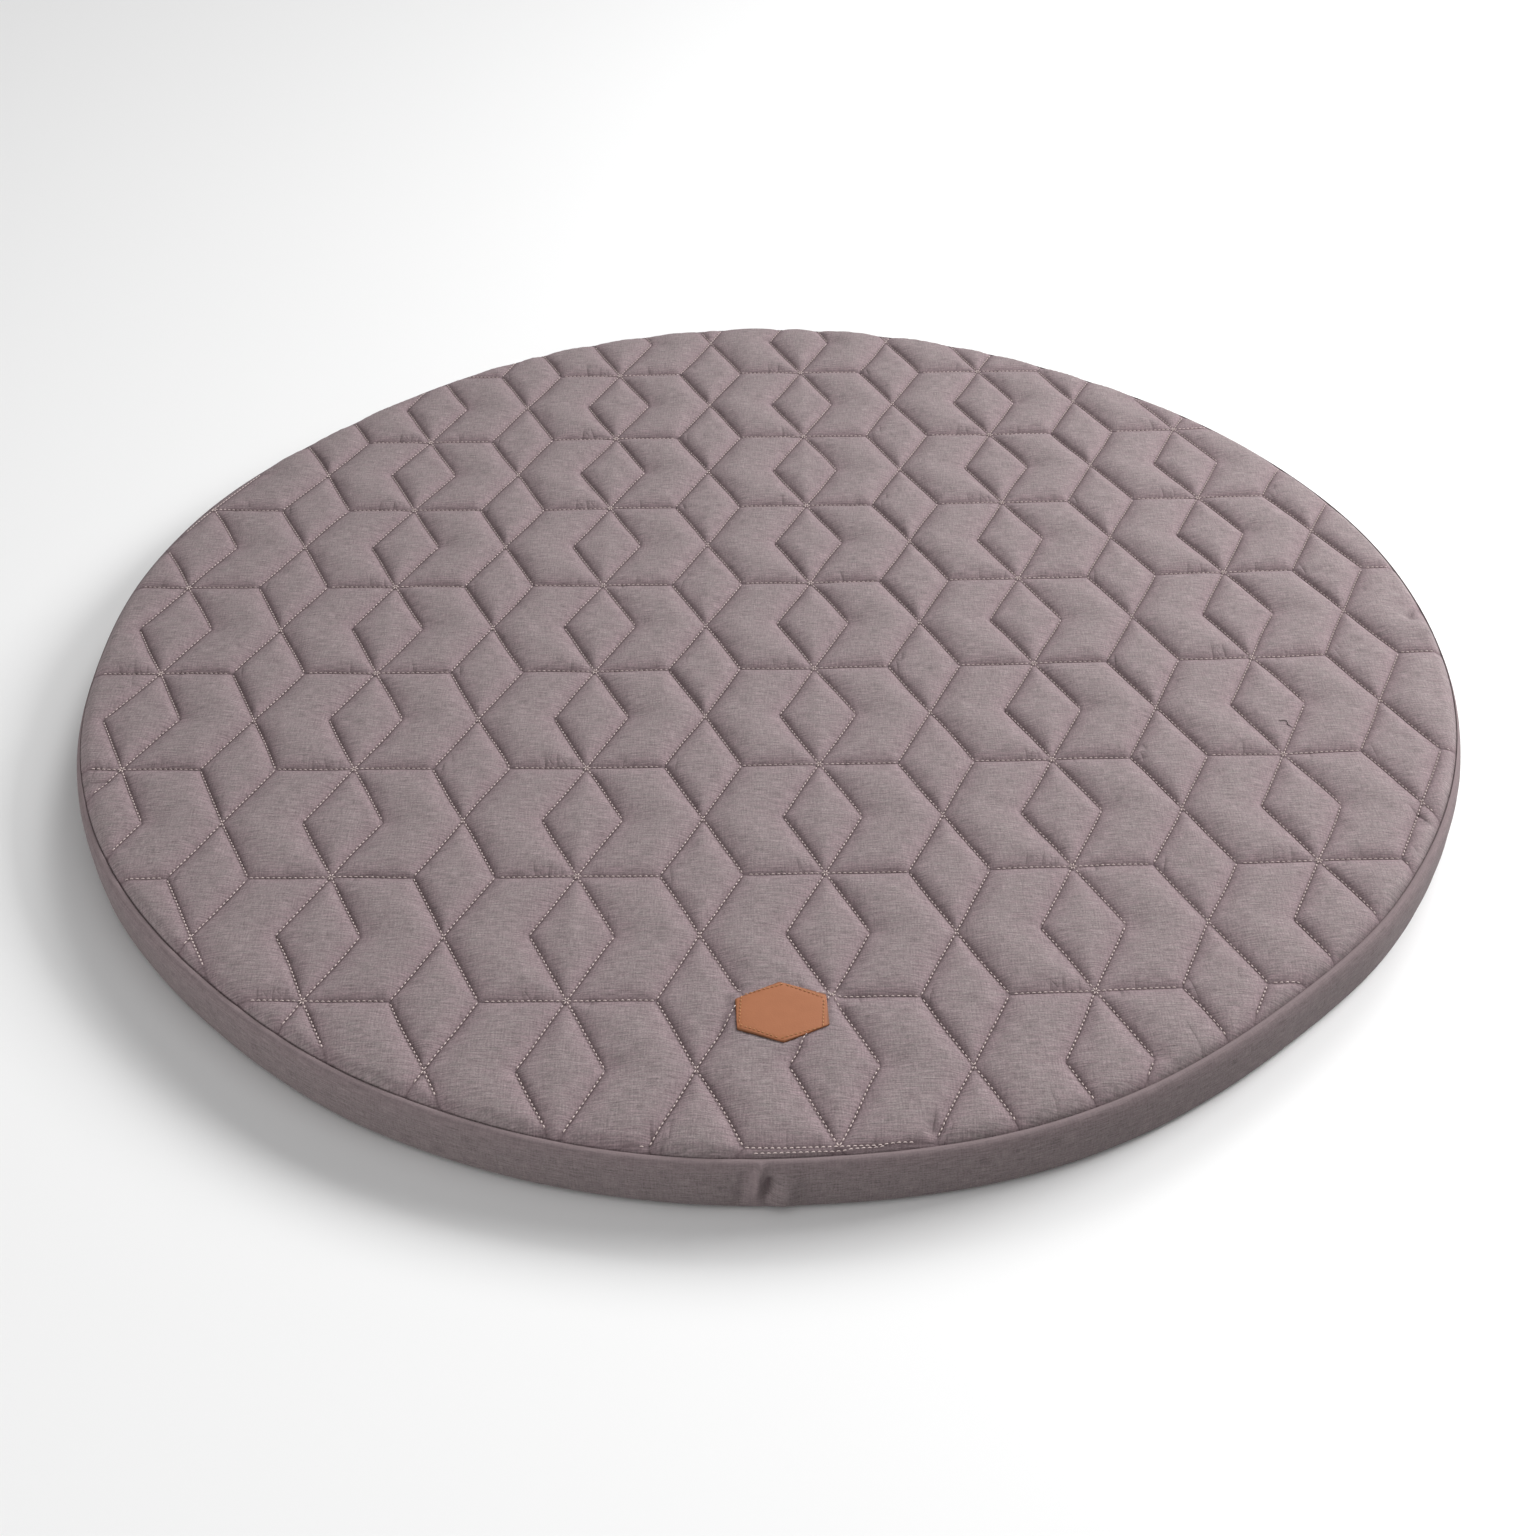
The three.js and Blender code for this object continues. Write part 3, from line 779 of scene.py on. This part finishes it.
def leather_label():
    bpy.ops.object.select_all(action="DESELECT")
    bottom = BED_HEIGHT + GAP
    bpy.ops.mesh.primitive_circle_add(vertices=6, radius=LABEL_HALF_HEIGHT, fill_type="NGON",
                                      location=(LABEL_X, LABEL_Y, bottom))
    label = bpy.context.object
    label.name = label.data.name = "leather_patch"
    bpy.ops.object.mode_set(mode="EDIT")
    bpy.ops.mesh.select_all(action="SELECT")
    plain_width = LABEL_HALF_HEIGHT * math.cos(math.radians(30))
    bpy.ops.transform.resize(value=(LABEL_HALF_WIDTH / plain_width, 1, 1),
                             center_override=(LABEL_X, LABEL_Y, bottom))
    bpy.ops.transform.rotate(value=LABEL_TURN, orient_axis="Z",
                             center_override=(LABEL_X, LABEL_Y, bottom))
    bpy.ops.mesh.extrude_region_move(TRANSFORM_OT_translate={"value": (0, 0, LEATHER)})
    bpy.ops.object.mode_set(mode="OBJECT")
    bpy.ops.object.transform_apply(location=True, rotation=True, scale=True)
    bevel = label.modifiers.new("worn_edge", "BEVEL")
    bevel.width = LABEL_EDGE
    bevel.segments = 3
    bevel.limit_method = "ANGLE"
    bpy.ops.object.modifier_apply(modifier=bevel.name)
    bpy.ops.object.mode_set(mode="EDIT")
    bpy.ops.mesh.select_all(action="SELECT")
    bpy.ops.mesh.quads_convert_to_tris()
    bpy.ops.mesh.subdivide(number_cuts=7)
    bpy.ops.object.mode_set(mode="OBJECT")
    places = np.zeros(len(label.data.vertices) * 3, np.float32)
    label.data.vertices.foreach_get("co", places)
    places = places.reshape(-1, 3)
    from_edge = np.maximum(0, -label_distance(places[:, 0], places[:, 1]))
    from_middle = np.hypot(places[:, 0] - LABEL_X, places[:, 1] - LABEL_Y) / LABEL_HALF_WIDTH
    places[:, 2] -= LABEL_CUP * from_middle ** 3 * (places[:, 2] > bottom + LEATHER / 2)
    label.data.vertices.foreach_set("co", places.ravel())
    set_attribute(label, "from_edge", from_edge)
    bpy.ops.object.shade_smooth_by_angle(angle=math.radians(40))
    return label


def label_outline(inside, up):
    """The six sides of the label's hexagon, that far inside its edge, as paths for stitches."""
    share = 1 - inside / LABEL_HALF_HEIGHT
    left = [(0, LABEL_HALF_HEIGHT), (-LABEL_HALF_WIDTH, LABEL_HALF_SIDE),
            (-LABEL_HALF_WIDTH, -LABEL_HALF_SIDE)]
    corners = left + [(-x, -y) for x, y in left]
    c, s = math.cos(LABEL_TURN), math.sin(LABEL_TURN)
    places = [(LABEL_X + (c * x - s * y) * share, LABEL_Y + (s * x + c * y) * share, up)
              for x, y in corners]
    return [np.array([places[k], places[(k + 1) % 6]]) for k in range(6)]


# Camera, floor and light

CAMERA_BACK = 1189.8 * MM
CAMERA_UP = 891.1 * MM
CAMERA_LENS = 48.19
CAMERA_PITCH = math.radians(39.093)
CAMERA_ROLL = math.radians(0.81)
FLOOR_TONE = (0.86, 0.86, 0.86, 1)
ROOM_LIGHT = 0.21
LIGHTS = [
    {"name": "window", "place": (2.05, 0.65, 1.4), "size": (1.2, 1.0), "power": 64},
    {"name": "far_window", "place": (2.7, 6.6, 5.5), "size": (4.0, 3.4), "power": 410},
    {"name": "overhead", "place": (0.7, -1.0, 2.5), "size": (2.2, 2.2), "power": 17},
    {"name": "low_fill", "place": (-2.6, -1.9, 0.45), "size": (1.8, 0.7), "power": 43},
]


def aim_camera():
    forward = Vector((0, math.cos(CAMERA_PITCH), -math.sin(CAMERA_PITCH)))
    level = Vector((1, 0, 0))
    down = forward.cross(level)
    right = level * math.cos(CAMERA_ROLL) + down * math.sin(CAMERA_ROLL)
    under = down * math.cos(CAMERA_ROLL) - level * math.sin(CAMERA_ROLL)
    data = bpy.data.cameras.new("camera")
    data.lens = CAMERA_LENS
    data.sensor_width = 36
    data.clip_start = 0.05
    data.clip_end = 50
    camera = bpy.data.objects.new("camera", data)
    bpy.context.scene.collection.objects.link(camera)
    turn = Matrix((right, -under, -forward)).transposed().to_4x4()
    camera.matrix_world = Matrix.Translation((0, -CAMERA_BACK, CAMERA_UP)) @ turn
    bpy.context.scene.camera = camera


def area_light(name, place, size, power):
    """A soft light aimed at the middle of the mat."""
    data = bpy.data.lights.new(name, "AREA")
    data.shape = "RECTANGLE"
    data.size, data.size_y = size
    data.energy = power
    light = bpy.data.objects.new(name, data)
    light.location = place
    light.rotation_euler = (-Vector(place)).to_track_quat("-Z", "Y").to_euler()
    bpy.context.scene.collection.objects.link(light)


def studio():
    bpy.ops.object.select_all(action="DESELECT")
    bpy.ops.mesh.primitive_plane_add(size=16, location=(0, 0, -0.0005))
    floor = bpy.context.object
    floor.name = "floor"
    paper = bpy.data.materials.new("floor_paper")
    paper.use_nodes = True
    shader = paper.node_tree.nodes["Principled BSDF"]
    shader.inputs["Base Color"].default_value = FLOOR_TONE
    shader.inputs["Roughness"].default_value = 0.9
    floor.data.materials.append(paper)
    world = bpy.data.worlds.new("studio")
    world.use_nodes = True
    background = world.node_tree.nodes["Background"]
    background.inputs["Color"].default_value = (1, 1, 1, 1)
    background.inputs["Strength"].default_value = ROOM_LIGHT
    bpy.context.scene.world = world
    for row in LIGHTS:
        area_light(**row)
    bpy.context.scene.view_settings.view_transform = "Standard"
    aim_camera()


# Materials

THREAD_PITCH = 0.55 * MM
SLUB_LENGTH = 10 * MM
SLUB_WIDTH = 0.8 * MM
SPECK_LENGTH = 1.1 * MM
SPECK_WIDTH = 0.9 * MM
PATCH_LENGTH = 9 * MM
PATCH_WIDTH = 1.6 * MM
TINT_REACH = 7 * MM        # the cloth is redder beside its sewn lines
SHADE_REACH = 1.0 * MM
GROOVE_REACH = 1.1 * MM
# reach of the painted light on the band's upper lip, down from its top seam
PAINTED_LIGHT_REACH = 4 * MM
# near-black tone of the painted shade in the sewn grooves, along the band's seams and in the small folds
PAINTED_SHADE_TONE = (0.05, 0.034, 0.036, 1)
TOP_THREADS = {"weft": (0.248, 0.187, 0.198), "warp": (0.245, 0.218, 0.212)}
# painted shade: the band is the same cloth as the top, given darker colours for the shade on its side
SHADED_BAND_THREADS = {"weft": (0.170, 0.131, 0.137), "warp": (0.170, 0.147, 0.144)}
# painted light: a paler colour on the band's upper lip, where it turns up towards the light
BAND_LIP_PAINTED_LIGHT = (0.26, 0.205, 0.210)
BASE_THREADS = {"weft": (0.190, 0.148, 0.154), "warp": (0.190, 0.163, 0.160)}
QUILTING_THREAD = (0.76, 0.63, 0.60)
DARK_THREAD = (0.045, 0.03, 0.03)
LABEL_THREAD = (0.55, 0.27, 0.11)
LEATHER_DARK = (0.325, 0.118, 0.050, 1)
LEATHER_PALE = (0.375, 0.140, 0.062, 1)
LEATHER_EDGE = (0.20, 0.075, 0.03, 1)
LEATHER_GRAIN = 0.9 * MM


def new_group(name, inputs, outputs):
    group = bpy.data.node_groups.new(name, "ShaderNodeTree")
    for label, kind, value in inputs:
        socket = group.interface.new_socket(label, in_out="INPUT", socket_type=kind)
        if value is not None:
            socket.default_value = value
    for label, kind in outputs:
        group.interface.new_socket(label, in_out="OUTPUT", socket_type=kind)
    return group, group.nodes.new("NodeGroupInput"), group.nodes.new("NodeGroupOutput")


def math_node(tree, operation, first, second=None, third=None):
    node = tree.nodes.new("ShaderNodeMath")
    node.operation = operation
    for k, value in enumerate((first, second, third)):
        if value is None:
            continue
        if isinstance(value, (int, float)):
            node.inputs[k].default_value = value
        else:
            tree.links.new(value, node.inputs[k])
    return node.outputs[0]


def stretched_noise(tree, vector, size_x, size_y, detail=1.0):
    """Noise with features of that width and height, in metres."""
    mapping = tree.nodes.new("ShaderNodeMapping")
    mapping.inputs["Scale"].default_value = (1 / size_x, 1 / size_y, 1)
    tree.links.new(vector, mapping.inputs["Vector"])
    node = tree.nodes.new("ShaderNodeTexNoise")
    node.inputs["Scale"].default_value = 1
    node.inputs["Detail"].default_value = detail
    tree.links.new(mapping.outputs[0], node.inputs["Vector"])
    return node.outputs[0]


def mix_colours(tree, share, first, second, blend="MIX"):
    """A Mix node's colours are its inputs 6 and 7 and its output 2."""
    node = tree.nodes.new("ShaderNodeMix")
    node.data_type = "RGBA"
    node.blend_type = blend
    for socket, value in ((node.inputs[0], share), (node.inputs[6], first), (node.inputs[7], second)):
        if isinstance(value, (int, float, tuple)):
            socket.default_value = value
        else:
            tree.links.new(value, socket)
    return node.outputs[2]


def weave_group():
    """Plain weave of two thread colours, with slubs along both threads and faint cloudy patches."""
    group, start, end = new_group("two_tone_weave", [
        ("Vector", "NodeSocketVector", None),
        ("Weft Colour", "NodeSocketColor", (0.3, 0.25, 0.26, 1)),
        ("Warp Colour", "NodeSocketColor", (0.3, 0.3, 0.28, 1)),
        ("Weft Share", "NodeSocketFloat", 0.0),
        ("Slubs", "NodeSocketFloat", 1.0),
    ], [("Colour", "NodeSocketColor"), ("Relief", "NodeSocketFloat")])
    vector = start.outputs["Vector"]
    split = group.nodes.new("ShaderNodeSeparateXYZ")
    group.links.new(vector, split.inputs[0])
    turn = 2 * math.pi / THREAD_PITCH
    across = math_node(group, "SINE", math_node(group, "MULTIPLY", split.outputs[0], turn))
    along = math_node(group, "SINE", math_node(group, "MULTIPLY", split.outputs[1], turn))
    checker = math_node(group, "MULTIPLY", across, along)
    over = math_node(group, "MULTIPLY_ADD", checker, 0.5, 0.5)
    weft_slubs = stretched_noise(group, vector, SLUB_LENGTH, SLUB_WIDTH, 2.0)
    warp_slubs = stretched_noise(group, vector, SLUB_WIDTH, 0.9 * SLUB_LENGTH, 1.0)
    specks = stretched_noise(group, vector, SPECK_LENGTH, SPECK_WIDTH, 2.0)
    patches = stretched_noise(group, vector, PATCH_LENGTH, PATCH_WIDTH, 4.0)
    which = math_node(group, "MULTIPLY_ADD", patches, 1.5, -0.25)
    which = math_node(group, "MULTIPLY_ADD", over, 0.2, math_node(group, "MULTIPLY", which, 0.8))
    which = math_node(group, "SUBTRACT", which, start.outputs["Weft Share"])
    which = math_node(group, "MINIMUM", math_node(group, "MAXIMUM", which, 0.0), 1.0)
    colour = mix_colours(group, which, start.outputs["Weft Colour"], start.outputs["Warp Colour"])
    slub = math_node(group, "MULTIPLY", warp_slubs, 0.5)
    slub = math_node(group, "MULTIPLY_ADD", weft_slubs, 1.0, slub)
    slub = math_node(group, "MULTIPLY_ADD", specks, 0.8, slub)
    light = math_node(group, "MULTIPLY_ADD", slub, 1.2, -1.38)
    light = math_node(group, "MULTIPLY_ADD", light, start.outputs["Slubs"], 1.0)
    grey = group.nodes.new("ShaderNodeCombineColor")
    for k in range(3):
        group.links.new(light, grey.inputs[k])
    colour = mix_colours(group, 1.0, colour, grey.outputs[0], "MULTIPLY")
    group.links.new(colour, end.inputs["Colour"])
    relief = math_node(group, "MULTIPLY_ADD", slub, 0.6, math_node(group, "MULTIPLY", over, 0.3))
    group.links.new(relief, end.inputs["Relief"])
    return group


def falling_off(tree, distance, reach):
    """From 1 at a sewn line down towards 0 with distance."""
    return math_node(tree, "EXPONENT", math_node(tree, "MULTIPLY", distance, -1 / reach))


def attribute(tree, name):
    node = tree.nodes.new("ShaderNodeAttribute")
    node.attribute_name = name
    return node.outputs["Fac"]


def cloth_material(name, weave, weft, warp, seam_shade=0.38, folded=False, lip=None):
    """Woven cloth, sunk at its sewn lines and darkened there with painted shade, with small folds
    darkened by painted shade, or a lip lightened with painted light, where asked.
    """
    material = bpy.data.materials.new(name)
    material.use_nodes = True
    tree = material.node_tree
    shader = tree.nodes["Principled BSDF"]
    place = tree.nodes.new("ShaderNodeUVMap")
    place.uv_map = "cloth"
    cloth = tree.nodes.new("ShaderNodeGroup")
    cloth.node_tree = weave
    cloth.inputs["Weft Colour"].default_value = (*weft, 1)
    cloth.inputs["Warp Colour"].default_value = (*warp, 1)
    tree.links.new(place.outputs[0], cloth.inputs["Vector"])
    distance = attribute(tree, "from_sewing")
    tinted = math_node(tree, "MULTIPLY", falling_off(tree, distance, TINT_REACH), 0.6)
    tree.links.new(tinted, cloth.inputs["Weft Share"])
    # painted shade: the colour is darkened towards the near-black tone along the sewn lines, and on the
    # band along its top seam and join
    share = math_node(tree, "MULTIPLY", falling_off(tree, distance, SHADE_REACH), seam_shade)
    relief = math_node(tree, "MULTIPLY", falling_off(tree, distance, GROOVE_REACH), -0.8)
    relief = math_node(tree, "MULTIPLY_ADD", cloth.outputs["Relief"], 0.3, relief)
    if folded:
        across = math_node(tree, "ABSOLUTE", attribute(tree, "fold_across"))
        folds = falling_off(tree, across, FOLD_SOFT)
        folds = math_node(tree, "MULTIPLY", folds, attribute(tree, "fold_depth"))
        # more painted shade along the small folds
        share = math_node(tree, "MULTIPLY_ADD", folds, 0.17, share)
        relief = math_node(tree, "MULTIPLY_ADD", folds, -2.4, relief)
    colour = cloth.outputs["Colour"]
    # painted light: the band is paler towards its top seam, where its lip faces up
    if lip is not None:
        colour = mix_colours(tree, falling_off(tree, distance, PAINTED_LIGHT_REACH), colour, (*lip, 1))
    colour = mix_colours(tree, share, colour, PAINTED_SHADE_TONE)
    tree.links.new(colour, shader.inputs["Base Color"])
    bump = tree.nodes.new("ShaderNodeBump")
    bump.inputs["Strength"].default_value = 0.6
    bump.inputs["Distance"].default_value = 0.5 * MM
    tree.links.new(relief, bump.inputs["Height"])
    tree.links.new(bump.outputs[0], shader.inputs["Normal"])
    shader.inputs["Roughness"].default_value = 0.92
    shader.inputs["Specular IOR Level"].default_value = 0.15
    shader.inputs["Sheen Weight"].default_value = 0.02
    return material


def thread_material(name, colour):
    material = bpy.data.materials.new(name)
    material.use_nodes = True
    tree = material.node_tree
    shader = tree.nodes["Principled BSDF"]
    place = tree.nodes.new("ShaderNodeTexCoord")
    tone = stretched_noise(tree, place.outputs["Object"], 2 * MM, 2 * MM)
    dark = tuple(0.7 * c for c in colour)
    tree.links.new(mix_colours(tree, tone, (*dark, 1), (*colour, 1)), shader.inputs["Base Color"])
    shader.inputs["Roughness"].default_value = 0.7
    return material


def leather_material():
    material = bpy.data.materials.new("tan_leather")
    material.use_nodes = True
    tree = material.node_tree
    shader = tree.nodes["Principled BSDF"]
    place = tree.nodes.new("ShaderNodeTexCoord")
    grain = tree.nodes.new("ShaderNodeTexVoronoi")
    grain.inputs["Scale"].default_value = 1 / LEATHER_GRAIN
    tree.links.new(place.outputs["Object"], grain.inputs["Vector"])
    tone = stretched_noise(tree, place.outputs["Object"], 9 * MM, 7 * MM, 3.0)
    colour = mix_colours(tree, tone, LEATHER_DARK, LEATHER_PALE)
    worn = tree.nodes.new("ShaderNodeMapRange")
    worn.inputs["From Min"].default_value = 0.0
    worn.inputs["From Max"].default_value = 0.9 * MM
    tree.links.new(attribute(tree, "from_edge"), worn.inputs["Value"])
    colour = mix_colours(tree, worn.outputs[0], LEATHER_EDGE, colour)
    tree.links.new(colour, shader.inputs["Base Color"])
    bump = tree.nodes.new("ShaderNodeBump")
    bump.inputs["Strength"].default_value = 0.4
    bump.inputs["Distance"].default_value = 0.3 * MM
    from_row = math_node(tree, "SUBTRACT", attribute(tree, "from_edge"), LABEL_BORDER)
    pressed = falling_off(tree, math_node(tree, "ABSOLUTE", from_row), 0.6 * MM)
    pressed = math_node(tree, "MULTIPLY", pressed, -0.9)
    height = math_node(tree, "MULTIPLY_ADD", grain.outputs["Distance"], 0.3, pressed)
    tree.links.new(height, bump.inputs["Height"])
    tree.links.new(bump.outputs[0], shader.inputs["Normal"])
    shader.inputs["Roughness"].default_value = 0.6
    shader.inputs["Specular IOR Level"].default_value = 0.3
    return material


# The mat

lines = sewn_lines()
weave = weave_group()
pad, paths, surface = quilted_pad(lines)
pad.data.materials.append(cloth_material("quilted_cloth", weave, **TOP_THREADS, folded=True))
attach(pad, "root")
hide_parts("quilted_pad")

thread = stitches("quilting_thread", paths, STITCH_PITCH, STITCH_LENGTH, STITCH_WIDTH, STITCH_LIFT)
thread.data.materials.append(thread_material("quilting_thread", QUILTING_THREAD))
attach(thread, "root")

tack = stitches("front_tack", [tack_row(TACK_ROW, surface)],
                STITCH_PITCH, STITCH_LENGTH, STITCH_WIDTH, STITCH_LIFT)
tack.data.materials.append(thread.data.materials[0])
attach(tack, "root")

loose = stitches("loose_thread", [loose_end(row, surface) for row in LOOSE_ENDS],
                 LOOSE_LENGTH, LOOSE_LENGTH, LOOSE_WIDTH, LOOSE_LIFT)
loose.data.materials.append(thread_material("dark_thread", DARK_THREAD))
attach(loose, "root")

band = side_band()
# the band's cloth carries painted shade in its darker colours
band.data.materials.append(cloth_material("band_cloth", weave, **SHADED_BAND_THREADS, lip=BAND_LIP_PAINTED_LIGHT))
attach(band, "root")
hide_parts("side_band")

base = base_panel()
base.data.materials.append(cloth_material("base_cloth", weave, **BASE_THREADS, seam_shade=0.0))
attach(base, "root")
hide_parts("base_panel")

label = leather_label()
label.data.materials.append(leather_material())
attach(label, "root")
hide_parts("leather_label")

border_height = BED_HEIGHT + GAP + LEATHER - LABEL_CUP * 0.6
border = stitches("label_stitching", label_outline(LABEL_BORDER, border_height), **LABEL_STITCH)
border.data.materials.append(thread_material("label_thread", LABEL_THREAD))
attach(border, "root")

studio()
